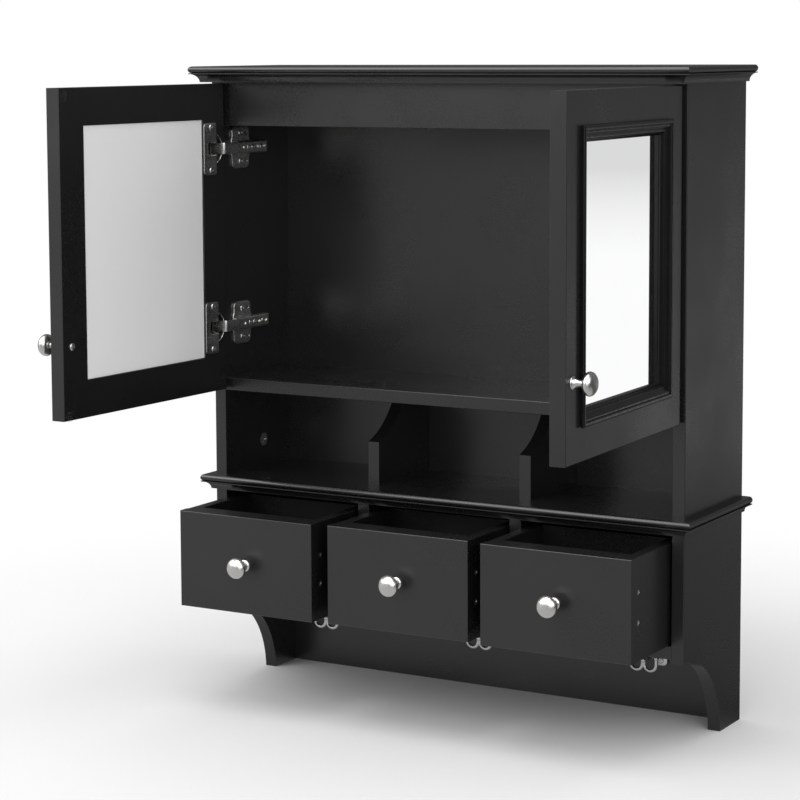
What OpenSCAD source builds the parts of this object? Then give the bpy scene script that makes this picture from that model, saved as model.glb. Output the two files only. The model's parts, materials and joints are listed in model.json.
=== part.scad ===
// Wall cabinet with two mirrored doors, three open cubbies, three drawers and a row of robe hooks.
// Millimetres. X runs along the wall, -Y points out into the room and +Z is up.
// The origin lies on the wall, at the middle of the upper hanging rail's back face.
// Doors and drawers are drawn open, as they stand at rest.

/* [Carcass] */
// Width across the outer faces of the side panels
body_w = 574; // [500:1:660]
// Depth from the wall to the front edges of the side panels
body_d = 155; // [145:1:190]
// Height from the mid board up to the crown board
upper_h = 452.5; // [400:0.5:560]
// Height from the feet up to the underside of the mid board
lower_h = 237.5; // [215:0.5:280]
// Thickness of the side panels
side_t = 14; // [12:0.5:18]
// Thickness of the shelf, dividers, partitions, deck, top panel and top rail
board_t = 14; // [12:0.5:16]
// Radius of the eased board edges
ease_r = 0.8; // [0.4:0.1:1.2]
// Hairline between two lengths of one glued frame or moulding
joint_gap = 0.1; // [0.05:0.05:0.2]

/* [Crown] */
// Thickness of the crown board
crown_t = 7.5; // [6:0.5:12]
// Overhang of the crown board past each side panel
crown_side = 13; // [12.5:0.5:20]
// Overhang of the crown board past the front edges
crown_front = 28; // [27.5:0.5:36]
// Distance of the moulding's foot from the side panels
crown_foot_side = 3.5; // [2:0.5:5]
// Distance of the moulding's foot from the front plane
crown_foot_front = 18.5; // [16:0.5:20]
// Height of the cove moulding under the crown
crown_cove_h = 10; // [8:0.5:14]
// Width of the hollow in the crown moulding
crown_cove_w = 9; // [7:0.5:9]
// Depth of the top rail below the crown board
top_rail_h = 58.5; // [50:0.5:75]

/* [Mid board] */
// Thickness of the mid board
mid_t = 7.5; // [6:0.5:12]
// Overhang of the mid board past each side panel
mid_side = 12; // [12:0.5:18]
// Overhang of the mid board past the front edges
mid_front = 15; // [15:0.5:20]
// Distance of the lower moulding's foot from the side panels
mid_foot_side = 3; // [2:0.5:3]
// Distance of the lower moulding's foot from the front plane
mid_foot_front = 6; // [4:0.5:6]
// Height of the cove moulding under the mid board
mid_cove_h = 9; // [7:0.5:11]
// Width of the hollow in the lower moulding
mid_cove_w = 8.7; // [6:0.1:8.7]

/* [Back] */
// Thickness of the back panel
back_t = 4; // [3:0.5:6]
// Thickness of the hanging rails behind the back panel
hang_t = 16; // [12:1:18]
// Height of the upper hanging rail
hang_h = 80; // [60:1:100]
// Height of the lower hanging rail
hang_low_h = 60; // [40:1:80]
// Distance between the two wall screw holes
wall_pitch = 400; // [300:1:440]
// Radius of the wall screw holes
wall_hole_r = 2.5; // [2:0.1:3.5]

/* [Cubbies] */
// Height of the open cubbies
cubby_h = 96.5; // [85:0.5:120]
// Distance of the dividers behind the front plane
divider_back = 23; // [15:1:35]
// How far back the divider's hollow reaches under the shelf
notch_run = 60; // [45:1:70]
// How far down the divider's hollow reaches below the shelf
notch_drop = 49; // [40:1:60]
// Radius of the divider's hollow
notch_r = 93; // [70:1:120]

/* [Drawer section] */
// Height of the drawer deck's underside above the feet
deck_z = 98; // [90:0.5:104]
// Height of the front bottom corner of the lower sides above the feet
bracket_z = 94.5; // [80:0.5:96]
// Length of the flat under that corner
bracket_flat = 1.5; // [0:0.5:10]
// Depth of the feet
foot_d = 55.5; // [45:0.5:70]
// Thickness of the lower back board
low_back_t = 11.5; // [9:0.5:14]
// How far the left drawer is pulled out
left_pull = 95; // [0:1:110]
// How far the middle drawer is pulled out
middle_pull = 90; // [0:1:110]
// How far the right drawer is pulled out
right_pull = 95; // [0:1:110]

/* [Drawers] */
// Gap between a drawer front and the boards on each side
drawer_gap = 1.5; // [1:0.1:2.5]
// Gap between a drawer front and the moulding above
drawer_reveal = 9; // [4:0.5:14]
// Height of a drawer front above the deck
drawer_lift = 1; // [0.5:0.1:2]
// Running gap between the drawer box and the deck
runner_gap = 0.3; // [0.2:0.1:0.5]
// Thickness of a drawer front
front_t = 14; // [12:0.5:18]
// Thickness of the drawer box boards
box_t = 12; // [9:0.5:14]
// How far the box sides stand in from the edges of the front
box_inset = 1; // [0.5:0.1:3]
// Thickness of the drawer bottom
bottom_t = 4; // [3:0.5:5]
// Height of the drawer bottom above the lower edge of the box
bottom_rise = 7; // [5:0.5:10]
// Depth of the grooves that hold the drawer bottom
groove_d = 5; // [3:0.5:6]
// Room behind a closed drawer
drawer_back_gap = 13.5; // [8:0.5:20]
// Height of the lower screw in a drawer side
side_screw_low = 39; // [25:0.5:45]
// Distance between the two screws in a drawer side
side_screw_pitch = 31; // [24:0.5:40]
// Distance of the front fixing screws from the middle
fix_screw_x = 50; // [35:0.5:60]

/* [Doors] */
// Opening angle of the doors at rest
door_open = 92; // [0:0.1:95]
// Thickness of a door frame
door_t = 16.5; // [16:0.5:20]
// Gap between the two closed doors
door_middle_gap = 3; // [2:0.5:5]
// How far a door's edge stands in from the side panel's outer face
door_reveal = 1; // [0.5:0.5:2]
// Gap between a closed door and the carcass
door_gap = 3; // [2.9:0.1:4]
// Gap between a door and the crown moulding
door_head_gap = 1.6; // [1:0.1:3]
// How far a door ends above the underside of the shelf
door_foot_gap = 2.2; // [0:0.1:3]
// Width of the frame seen from the back
frame_w = 39; // [39:0.5:46]
// How far the lip in front of the mirror covers it
lip_w = 5; // [4:0.5:6]
// Depth of the mirror's seat from the back of the door
seat_d = 8.5; // [8:0.5:9]
// Thickness of the mirror glass
glass_t = 3; // [3:0.5:4]
// Thickness of the backing board behind the mirror
backing_t = 4; // [2:0.5:4]
// Clearance round the mirror in its seat
glass_gap = 0.5; // [0.2:0.1:1]
// How far the raised moulding laps over the face of the frame
bead_lap = 12; // [10:0.5:13]
// Width of the raised moulding
bead_w = 16; // [15:0.5:18]
// Height of the raised moulding above the door's face
bead_h = 4.3; // [3:0.1:6]
// Height of the door bumpers
bumper_h = 2.6; // [2:0.1:2.7]
// Radius of the door bumpers
bumper_r = 6; // [4:0.5:6.5]
// Distance of the bumpers from the free edge of the door
bumper_inset = 9; // [7:0.5:12]

/* [Hinges] */
// Distance of a hinge from the door's top or bottom edge
hinge_inset = 71.7; // [60:0.1:90]
// Distance of the hinge cup's middle from the door's edge
cup_s = 20.5; // [20.5:0.1:21]
// Radius of the hinge cup
cup_r = 17.5; // [17:0.1:17.5]
// Depth of the hinge cup
cup_d = 14; // [13.8:0.1:14.2]
// Wall of the hinge cup
cup_wall = 0.7; // [0.5:0.1:0.8]
// Distance of the pivot from the door's edge
pivot_s = 7.8; // [7:0.1:7.8]
// Depth of the pivot in the door, from its back face
pivot_d = 10.8; // [10.6:0.1:11]
// Radius of the hinge pin
pin_r = 1.2; // [0.8:0.1:1.3]
// Running clearance round the hinge pin
pin_gap = 0.05; // [0.02:0.01:0.08]
// Radius of the arm's knuckle
knuckle_r = 2; // [1.8:0.1:2.2]
// Half the height of the knuckle and the bent arm
neck_half = 6.2; // [5:0.1:6.5]
// Reach of the bent arm sideways from the pivot
neck_reach = 16; // [14:0.5:18]
// Thickness of the arm's steel
steel_t = 1.2; // [1:0.1:1.5]
// Height of the cup's screw plate
flange_h = 57.5; // [54:0.5:62]
// Distance between the two cup screws
cup_pitch = 47.5; // [46:0.5:48]
// Distance of the cup screws from the door's edge
cup_screw_s = 25; // [24:0.5:27]
// Height of the wing plate on the side panel
wing_h = 48; // [44:1:52]
// Width of the wing plate on the side panel
wing_w = 34; // [30:1:38]
// Distance of the wing plate behind the front plane
wing_back = 16; // [12:1:22]
// Thickness of the wing plate
wing_t = 2; // [1.5:0.5:2.5]
// Distance between the two wing plate screws
wing_pitch = 32; // [30:1:34]
// Distance of the arm's box behind the front plane
arm_back = 15; // [12:1:24]
// Length of the arm's box
arm_l = 58; // [54:1:62]
// Half the height of the arm's box
arm_half = 7; // [7:0.1:8]

/* [Knobs] */
// Radius of a knob's head
knob_r = 11.5; // [9:0.1:13]
// Distance from the door's face to the middle of the head
knob_reach = 17.5; // [16:0.5:22]
// Half the depth of the head
knob_half_d = 7; // [6:0.5:9]
// Radius of a knob's foot
knob_foot_r = 6.5; // [6:0.1:9]
// Radius of a knob's neck
knob_neck_r = 3.5; // [3.3:0.1:4.5]
// Distance of a door knob from the door's free edge
door_knob_inset = 14.5; // [12:0.5:18]
// Height of a door knob above the door's lower edge
door_knob_z = 76.3; // [60:0.1:120]

/* [Robe hooks] */
// Distance between two hooks
hook_pitch = 200; // [150:1:220]
// Height of the hooks' stems above the feet
hook_z = 68; // [55:0.5:74]
// How far the hooks stand out from the board
hook_reach = 48.5; // [35:0.5:55]
// Radius of the bend in each prong
prong_bend_r = 7; // [6:0.1:9]
// Radius of the prong's rod
prong_r = 2; // [1.5:0.1:2.2]
// Radius of the ball on each prong
prong_ball_r = 2.8; // [2.3:0.1:3.4]
// Height of each prong's straight end
prong_rise = 7; // [5:0.5:14]

/* [Screws and fittings] */
// Radius of the wood screws' shanks
shank_r = 1.8; // [1.5:0.1:2]
// Radius of the wood screws' heads
head_r = 3.6; // [3:0.1:4]
// Thickness of the wood screws' heads
head_t = 1.4; // [1:0.1:1.8]
// Clearance between a screw and its hole
screw_gap = 0.06; // [0.05:0.01:0.1]
// Radius of the cam discs in the side panels
cam_r = 7.5; // [6:0.1:8]
// Depth of the cam discs
cam_d = 11; // [9:0.5:11]
// Distance of the cam discs from the ends of the side panels
cam_inset = 29; // [24:0.5:34]
// Distance of the cam discs from the wall
cam_y = 77; // [60:1:90]
// Radius of the bolts that the cam discs pull on
bolt_r = 3; // [2.5:0.1:3.5]

/* [Hidden] */
$fn = 32;
black = [0.17, 0.17, 0.17];
gloss_black = [0.08, 0.08, 0.08];
nickel = [0.72, 0.71, 0.69];
steel = [0.6, 0.61, 0.62];
pale_grey = [0.8, 0.8, 0.8];
mirror_grey = [0.9, 0.92, 0.93];
clear_white = [0.85, 0.87, 0.87];

// Heights, counted from the middle of the upper hanging rail
z_top = hang_h / 2;
z_crown = z_top + crown_t;
z_base = z_top - upper_h;
z_mid = z_base - mid_t;
z_foot = z_mid - lower_h;
z_shelf = z_base + cubby_h;
z_deck = z_foot + deck_z;
z_deck_top = z_deck + board_t;

// Plan sizes
half_w = body_w / 2;
inner_half = half_w - side_t;
bay_w = (2 * inner_half - 2 * board_t) / 3;
bay_pitch = bay_w + board_t;
wall_x = (bay_w + board_t) / 2;
back_y = hang_t + back_t;

// Doors
door_w = (body_w - 2 * door_reveal - door_middle_gap) / 2;
door_z = z_shelf + door_foot_gap;
door_h = z_top - crown_cove_h - door_head_gap - door_z;
pivot_x = -half_w + door_reveal + pivot_s;
pivot_y = -(body_d + door_gap + pivot_d);
hinge_heights = [hinge_inset, door_h - hinge_inset];
frame_lip = frame_w + lip_w;
bead_margin = frame_lip - bead_lap;
bore_r = cup_r + screw_gap;
cup_in_r = cup_r - cup_wall;
neck_x = pivot_x + neck_reach;
arm_web_x = neck_x - steel_t / 2;
wing_x = -inner_half + wing_t;
arm_front = body_d - arm_back;

// Drawers
drawer_w = bay_w - 2 * drawer_gap;
drawer_z = z_deck_top + drawer_lift;
drawer_h = z_mid - mid_cove_h - drawer_reveal - drawer_z;
drawer_l = body_d - low_back_t - drawer_back_gap;
box_half = drawer_w / 2 - box_inset;
box_z = z_deck_top + runner_gap;
box_top = drawer_z + drawer_h;
box_l = drawer_l - front_t;
floor_z = box_z + bottom_rise;
side_screw_l = 30;
knob_hole_d = 9;

// Screws, cams and small parts
wing_screw_l = wing_t + 0.6 * side_t;
arm_screw_l = 7;
arm_screw_r = 1.5;
arm_head_r = 2.8;
arm_head_t = 1;
arm_screw_at = [0.35, 0.5, 0.8] * arm_l;
cup_screw_l = door_t - 4;
knob_head_r = 4;
knob_head_t = 2;
cam_play = 0.1;
cam_cross = [2, 1.2, 8];
hook_plate_t = 3;
hook_plate_w = 16;
hook_plate_h = 34;
hook_screw_pitch = 22;
hook_screw_l = hook_plate_t + low_back_t - 2;

// Middle of the divider's hollow, from the two ends of its arc and its radius
notch_a = [divider_back - body_d, z_shelf - notch_drop];
notch_b = [divider_back - body_d + notch_run, z_shelf];
notch_chord = norm(notch_b - notch_a);
notch_rise = sqrt(notch_r * notch_r - notch_chord * notch_chord / 4);
notch_mid = (notch_a + notch_b) / 2 + notch_rise * [-notch_drop, notch_run] / notch_chord;

// Extra length that lets a cut pass through a face
cut = 1;

// Box between two opposite corners
module block(lo, hi) {
    translate(lo) cube(hi - lo);
}

// Rectangle with rounded corners, from the origin
module eased_rect(w, h, r = ease_r) {
    translate([r, 0]) square([w - 2 * r, h]);
    translate([0, r]) square([w, h - 2 * r]);
    for (x = [r, w - r], y = [r, h - r]) translate([x, y]) circle(r);
}

// Board that stands up, with its vertical edges eased
module upright(lo, hi) {
    s = hi - lo;
    translate(lo) linear_extrude(s[2]) eased_rect(s[0], s[1]);
}

// Board that runs along X, with its long edges eased
module plank(lo, hi) {
    s = hi - lo;
    translate(lo) rotate([90, 0, 90]) linear_extrude(s[0]) eased_rect(s[1], s[2]);
}

// Board with a fully rounded nose at the front and at both ends
module nosed_board(half, depth, z, t) {
    r = t / 2;
    intersection() {
        translate([-half, 0, z]) rotate([90, 0, 90]) linear_extrude(2 * half) {
            translate([r - depth, 0]) square([depth - r, t]);
            translate([r - depth, r]) circle(r);
        }
        translate([0, 0, z]) rotate([90, 0, 0]) linear_extrude(depth + cut) {
            translate([r - half, 0]) square([2 * (half - r), t]);
            for (x = [r - half, half - r]) translate([x, r]) circle(r);
        }
    }
}

// Section of a cove moulding: flat soffit, hollow and a thin lip on top
module cove_section(foot, w, h) {
    lip = 1;
    steps = 12;
    hollow = [for (i = [0 : steps]) let (a = 180 - 90 * i / steps)
        [foot + w + w * cos(a), (h - lip) * sin(a)]];
    polygon(concat([[0, 0]], hollow, [[foot + w, h], [0, h]]));
}

// Three mitred lengths of cove moulding round the front and the sides of the carcass
module cove_ring(foot_side, foot_front, w, h, z) {
    out_x = half_w + foot_side + w;
    out_y = body_d + foot_front + w;
    heel = body_d + foot_front - foot_side;
    g = joint_gap;
    translate([0, 0, z]) {
        intersection() {
            translate([-out_x, -body_d, 0]) rotate([90, 0, 90])
                linear_extrude(2 * out_x) mirror([1, 0]) cove_section(foot_front, w, h);
            translate([0, 0, -cut]) linear_extrude(h + 2 * cut) polygon([
                [-out_x + g, -out_y], [out_x - g, -out_y], [half_w - g, -heel], [half_w - g, -body_d],
                [g - half_w, -body_d], [g - half_w, -heel]]);
        }
        for (m = [0, 1]) mirror([m, 0, 0]) intersection() {
            translate([half_w, 0, 0]) rotate([90, 0, 0])
                linear_extrude(out_y) cove_section(foot_side, w, h);
            translate([0, 0, -cut]) linear_extrude(h + 2 * cut) polygon([
                [half_w, 0], [out_x, 0], [out_x, -out_y], [half_w, -heel]]);
        }
    }
}

// Screw whose head stands up along +Z from the seat, with a cross recess
module screw(length, r = shank_r, cap_r = head_r, cap_t = head_t) {
    slot_w = 0.22 * cap_r;
    slot_l = 1.1 * cap_r;
    difference() {
        union() {
            cylinder(r = cap_r, h = cap_t);
            translate([0, 0, -length]) cylinder(r = r, h = length);
        }
        for (a = [0, 90]) rotate([0, 0, a])
            translate([-slot_l / 2, -slot_w / 2, cap_t / 2]) cube([slot_l, slot_w, cap_t]);
    }
}

// Hole for such a screw
module screw_hole(length, r = shank_r) {
    translate([0, 0, -length]) cylinder(r = r + screw_gap, h = length + cut);
}

// Furniture knob on the XZ plane, standing out along -Y, with a blind hole for its screw
module knob() {
    steps = 16;
    collar = 1;
    neck = knob_reach - knob_half_d - collar;
    start = asin(knob_neck_r / knob_r);
    head = [for (i = [0 : steps]) let (a = start + (180 - start) * i / steps)
        [knob_r * sin(a), knob_reach - knob_half_d * cos(a)]];
    foot_rim = 1.5;
    flare = [for (i = [0 : 6]) let (a = 90 * i / 6)
        [knob_foot_r - (knob_foot_r - knob_neck_r) * sin(a),
         neck - (neck - foot_rim) * cos(a)]];
    color(nickel) rotate([90, 0, 0]) difference() {
        rotate_extrude($fn = 48) polygon(concat([[0, 0], [knob_foot_r, 0]], flare, head));
        translate([0, 0, -cut]) cylinder(r = shank_r + screw_gap, h = knob_hole_d + cut);
    }
}

// Carcass boards

module crown_board() {
    color(black) difference() {
        nosed_board(half_w + crown_side, body_d + crown_front, z_top, crown_t);
        on_both_sides() cam_bolt_rods(screw_gap);
    }
}

module crown_moulding() {
    color(black) cove_ring(crown_foot_side, crown_foot_front, crown_cove_w, crown_cove_h,
        z_top - crown_cove_h);
}

module top_panel() {
    color(black) block([-inner_half, board_t - body_d, z_top - board_t],
                       [inner_half, -hang_t, z_top]);
}

module top_rail() {
    color(black) plank([-inner_half, -body_d, z_top - top_rail_h],
                       [inner_half, board_t - body_d, z_top]);
}

// Heights of the cam discs in the left side panels
cam_heights = [z_base + cam_inset, z_top - cam_inset, z_mid - cam_inset];

module cam_bores() {
    for (c = cam_heights) translate([-inner_half - cam_d, -cam_y, c]) rotate([0, 90, 0])
        cylinder(r = cam_r + screw_gap, h = cam_d + cut);
}

// Ends of the upright bolts: one through the mid board and one up into the crown board
bolt_ends = [[z_mid - cam_inset, z_base + cam_inset], [z_top - cam_inset, z_top + crown_t / 2]];

module cam_bolt_rods(grow) {
    for (b = bolt_ends) {
        translate([side_t / 2 - half_w, -cam_y, b[0] - grow])
            cylinder(r = bolt_r + grow, h = b[1] - b[0] + 2 * grow);
    }
}

module on_both_sides() {
    for (m = [0, 1]) mirror([m, 0, 0]) children();
}

module hinge_places() {
    for (h = hinge_heights) translate([0, 0, door_z + h]) children();
}

// Wing plate screws, on the left side panel's inner face
module wing_screw_places() {
    for (s = [-1, 1]) {
        translate([wing_x, wing_back + wing_w / 2 - body_d, s * wing_pitch / 2])
            rotate([0, 90, 0]) children();
    }
}

// The three screws along the arm's box
module arm_screw_places() {
    for (y = arm_screw_at) translate([arm_web_x + steel_t, y - arm_front, 0])
        rotate([0, 90, 0]) children();
}

module left_panel_solid() {
    difference() {
        upright([-half_w, -body_d, z_base], [-inner_half, 0, z_top]);
        cam_bores();
        cam_bolt_rods(screw_gap);
        hinge_places() wing_screw_places() screw_hole(wing_screw_l + cut);
    }
}

module left_side_panel() {
    color(black) left_panel_solid();
}

module right_side_panel() {
    color(black) mirror([1, 0, 0]) left_panel_solid();
}

module back_panel() {
    color(black) difference() {
        block([-inner_half, -back_y, z_base], [inner_half, -hang_t, z_top - board_t]);
        wall_holes();
    }
}

module wall_holes() {
    for (s = [-1, 1]) translate([s * wall_pitch / 2, cut, 0]) rotate([90, 0, 0])
        cylinder(r = wall_hole_r, h = back_y + 2 * cut);
}

module hanging_rails() {
    color(black) difference() {
        union() {
            block([-inner_half, -hang_t, z_top - hang_h], [inner_half, 0, z_top]);
            block([-inner_half, -hang_t, z_base], [inner_half, 0, z_base + hang_low_h]);
        }
        wall_holes();
    }
}

module shelf() {
    color(black) plank([-inner_half, -body_d, z_shelf], [inner_half, -back_y, z_shelf + board_t]);
}

module cubby_dividers() {
    color(black) for (s = [-1, 1]) difference() {
        upright([s * wall_x - board_t / 2, notch_a[0], z_base],
                [s * wall_x + board_t / 2, -back_y, z_shelf]);
        translate([s * wall_x, notch_mid[0], notch_mid[1]]) rotate([0, 90, 0])
            cylinder(r = notch_r, h = board_t + 2 * cut, center = true, $fn = 96);
    }
}

module mid_board() {
    color(black) difference() {
        nosed_board(half_w + mid_side, body_d + mid_front, z_mid, mid_t);
        on_both_sides() cam_bolt_rods(screw_gap);
    }
}

module mid_moulding() {
    color(black) cove_ring(mid_foot_side, mid_foot_front, mid_cove_w, mid_cove_h, z_mid - mid_cove_h);
}

// Drawer section

module left_lower_solid() {
    r = body_d - bracket_flat - foot_d;
    mid_y = bracket_flat - body_d;
    mid_z = z_foot + bracket_z - r;
    difference() {
        upright([-half_w, -body_d, z_foot], [-inner_half, 0, z_mid]);
        translate([-half_w - cut, mid_y, mid_z]) rotate([0, 90, 0])
            cylinder(r = r, h = side_t + 2 * cut, $fn = 96);
        block([-half_w - cut, -body_d - cut, z_foot - cut],
              [cut - inner_half, mid_y, z_foot + bracket_z]);
        if (mid_z > z_foot) {
            block([-half_w - cut, mid_y - cut, z_foot - cut], [cut - inner_half, -foot_d, mid_z]);
        }
        cam_bores();
        cam_bolt_rods(screw_gap);
    }
}

module left_lower_side() {
    color(black) left_lower_solid();
}

module right_lower_side() {
    color(black) mirror([1, 0, 0]) left_lower_solid();
}

module drawer_partitions() {
    color(black) for (s = [-1, 1]) {
        upright([s * wall_x - board_t / 2, -body_d, z_deck_top],
                [s * wall_x + board_t / 2, -low_back_t, z_mid]);
    }
}

module drawer_deck() {
    color(black) plank([-inner_half, -body_d, z_deck], [inner_half, -low_back_t, z_deck_top]);
}

module lower_back_board() {
    color(black) difference() {
        block([-inner_half, -low_back_t, z_foot], [inner_half, 0, z_mid]);
        hook_places() hook_screw_places() screw_hole(hook_screw_l + cut);
    }
}

// Hinge parts on the carcass

module left_hinge_plates() {
    block_half = 5.5;
    block_end = 2;
    hinge_places() difference() {
        union() {
            translate([-inner_half, wing_back - body_d, -wing_h / 2]) rotate([90, 0, 90])
                linear_extrude(wing_t) eased_rect(wing_w, wing_h, 3);
            block([-inner_half, block_end - arm_front, -block_half],
                  [arm_web_x, arm_l - arm_front - block_end, block_half]);
        }
        wing_screw_places() screw_hole(wing_t + cut);
        arm_screw_places() screw_hole(arm_screw_l + cut, arm_screw_r);
    }
}

module hinge_plates() {
    color(nickel) on_both_sides() left_hinge_plates();
}

// Fixed arm: knuckle on the hinge pin, sideways neck, long web and the box that clips on the plate
module left_hinge_arms() {
    flank = 7;
    hinge_places() difference() {
        union() {
            translate([pivot_x, pivot_y, -neck_half]) cylinder(r = knuckle_r, h = 2 * neck_half);
            block([pivot_x, pivot_y - steel_t / 2, -neck_half],
                  [neck_x, pivot_y + steel_t / 2, neck_half]);
            block([arm_web_x, pivot_y - steel_t / 2, -neck_half],
                  [arm_web_x + steel_t, -arm_front, neck_half]);
            block([arm_web_x, -arm_front, -arm_half],
                  [arm_web_x + steel_t, arm_l - arm_front, arm_half]);
            for (s = [-1, 1]) {
                z_in = s * (arm_half - steel_t / 2);
                block([arm_web_x - flank, -arm_front, z_in - steel_t / 2],
                      [arm_web_x + steel_t, arm_l - arm_front, z_in + steel_t / 2]);
            }
        }
        translate([pivot_x, pivot_y, -neck_half - cut])
            cylinder(r = pin_r + pin_gap, h = 2 * (neck_half + cut));
        arm_screw_places() screw_hole(steel_t + cut, arm_screw_r);
    }
}

module hinge_arms() {
    color(nickel) on_both_sides() left_hinge_arms();
}

module hinge_screws() {
    color(steel) on_both_sides() hinge_places() {
        wing_screw_places() screw(wing_screw_l);
        arm_screw_places() screw(arm_screw_l, arm_screw_r, arm_head_r, arm_head_t);
    }
}

module cam_locks() {
    color(steel) on_both_sides() for (c = cam_heights) difference() {
        translate([-inner_half - cam_d + cam_play, -cam_y, c]) rotate([0, 90, 0])
            cylinder(r = cam_r, h = cam_d - cam_play);
        translate([-inner_half, -cam_y, c]) for (a = [0, 90]) rotate([a, 0, 0])
            cube(cam_cross, center = true);
        translate([side_t / 2 - half_w, -cam_y, c])
            cylinder(r = bolt_r + screw_gap, h = 3 * cam_r, center = true);
    }
}

module cam_bolts() {
    color(steel) on_both_sides() cam_bolt_rods(0);
}

// Robe hooks

module hook_places() {
    for (i = [-1, 0, 1]) translate([i * hook_pitch, -low_back_t, z_foot + hook_z]) children();
}

module hook_screw_places() {
    for (s = [-1, 1]) translate([0, -hook_plate_t, s * hook_screw_pitch / 2])
        rotate([90, 0, 0]) children();
}

// One double hook, with its stem at the origin, standing out along -Y
module robe_hook() {
    stem_r = 3;
    nose_r = 3.6;
    nose_y = -hook_reach;
    in_x = prong_r / 2;
    tip_x = in_x + 2 * prong_bend_r;
    bend_z = -4;
    difference() {
        union() {
            translate([-hook_plate_w / 2, 0, -hook_plate_h / 2]) rotate([90, 0, 0])
                linear_extrude(hook_plate_t) eased_rect(hook_plate_w, hook_plate_h, 5);
            translate([0, -hook_plate_t / 2, 0]) rotate([90, 0, 0])
                cylinder(r = stem_r, h = hook_reach - hook_plate_t / 2);
            translate([0, nose_y, 0]) sphere(nose_r);
            for (m = [0, 1]) mirror([m, 0, 0]) {
                translate([in_x, nose_y, bend_z]) cylinder(r = prong_r, h = -bend_z);
                translate([in_x + prong_bend_r, nose_y, bend_z]) rotate([90, 0, 0]) rotate([0, 0, 180])
                    rotate_extrude(angle = 180) translate([prong_bend_r, 0]) circle(prong_r);
                translate([tip_x, nose_y, bend_z]) cylinder(r = prong_r, h = prong_rise);
                translate([tip_x, nose_y, bend_z + prong_rise]) sphere(prong_ball_r);
            }
        }
        hook_screw_places() screw_hole(hook_plate_t + cut);
    }
}

module robe_hooks() {
    color(nickel) hook_places() robe_hook();
}

module hook_screws() {
    color(steel) hook_places() hook_screw_places() screw(hook_screw_l);
}

// Doors, drawn with the hinge edge at X = 0, the back face at Y = 0 and the front towards -Y

module on_left_door() {
    translate([pivot_x, pivot_y, door_z]) rotate([0, 0, -door_open])
        translate([-pivot_s, pivot_d, 0]) children();
}

module on_right_door() {
    mirror([1, 0, 0]) on_left_door() children();
}

module cup_places() {
    for (h = hinge_heights) translate([cup_s, 0, h]) children();
}

module cup_screw_places() {
    for (h = hinge_heights, s = [-1, 1]) {
        translate([cup_screw_s, steel_t, h + s * cup_pitch / 2]) rotate([-90, 0, 0]) children();
    }
}

module door_knob_place() {
    translate([door_w - door_knob_inset, -door_t, door_knob_z]) children();
}

module door_knob_screw_place() {
    translate([door_w - door_knob_inset, 0, door_knob_z]) rotate([-90, 0, 0]) children();
}

module door_board() {
    difference() {
        intersection() {
            translate([0, -door_t, 0]) linear_extrude(door_h) eased_rect(door_w, door_t);
            translate([0, -door_t, 0]) rotate([90, 0, 90])
                linear_extrude(door_w) eased_rect(door_t, door_h);
        }
        block([frame_w, -seat_d, frame_w], [door_w - frame_w, cut, door_h - frame_w]);
        block([frame_lip, -door_t - cut, frame_lip], [door_w - frame_lip, cut, door_h - frame_lip]);
        cup_places() rotate([90, 0, 0]) translate([0, 0, -cut])
            cylinder(r = bore_r, h = cup_d + screw_gap + cut);
        cup_screw_places() screw_hole(cup_screw_l + cut);
        door_knob_screw_place() screw_hole(door_t + cut);
    }
}

module door_frame() {
    color(black) {
        intersection() {
            door_board();
            union() {
                block([-cut, -door_t - cut, -cut], [frame_lip, cut, door_h + cut]);
                block([door_w - frame_lip, -door_t - cut, -cut], [door_w + cut, cut, door_h + cut]);
                block([frame_lip + joint_gap, -door_t - cut, -cut],
                      [door_w - frame_lip - joint_gap, cut, door_h + cut]);
            }
        }
    }
}

// Section of the raised moulding: distance in from its outer edge, and height above the mirror's seat
module bead_section() {
    face = door_t - seat_d;
    top = face + bead_h;
    nose = 1.6;
    round_top = [for (i = [0 : 6]) let (a = 180 - 90 * i / 6)
        [nose + nose * cos(a), top - nose + nose * sin(a)]];
    slope = [[0.31, 0], [0.35, 0.33], [0.52, 0.44], [0.65, 0.7], [0.77, 0.86]];
    upper = [for (p = slope) [p[0] * bead_w, top - p[1] * bead_h]];
    inner = bead_w - bead_lap;
    steps = [[0.25, 0.2], [0.5, 0.27], [0.65, 0.52], [0.85, 0.6], [1, 0.75]];
    lower = [for (p = steps) [bead_lap + p[0] * inner, face - p[1] * face]];
    polygon(concat([[0, face]], round_top, upper, lower,
        [[bead_w, 0], [bead_lap, 0], [bead_lap, face]]));
}

module bead_strip(length) {
    linear_extrude(length) bead_section();
}

// Four mitred lengths of the raised moulding, set in front of the mirror
module door_moulding() {
    w = door_w - 2 * bead_margin;
    h = door_h - 2 * bead_margin;
    g = joint_gap;
    color(gloss_black) translate([bead_margin, -seat_d, bead_margin]) {
        for (m = [0, 1]) translate([m * w, 0, 0]) mirror([m, 0, 0]) intersection() {
            mirror([0, 1, 0]) bead_strip(h);
            rotate([90, 0, 0]) linear_extrude(3 * door_t, center = true)
                polygon([[0, g], [0, h - g], [bead_w, h - bead_w - g], [bead_w, bead_w + g]]);
        }
        for (m = [0, 1]) translate([0, 0, m * h]) mirror([0, 0, m]) intersection() {
            rotate([90, 0, 90]) linear_extrude(w) rotate([0, 0, 90]) bead_section();
            rotate([90, 0, 0]) linear_extrude(3 * door_t, center = true)
                polygon([[0, 0], [w, 0], [w - bead_w, bead_w], [bead_w, bead_w]]);
        }
    }
}

// Sheet that fills the mirror's seat between two depths
module seat_sheet(near, far) {
    edge = frame_w + glass_gap;
    block([edge, -far, edge], [door_w - edge, -near, door_h - edge]);
}

module door_mirror() {
    color(mirror_grey) seat_sheet(seat_d - glass_t, seat_d);
}

module door_backing() {
    color(pale_grey) seat_sheet(seat_d - glass_t - backing_t, seat_d - glass_t);
}

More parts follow.
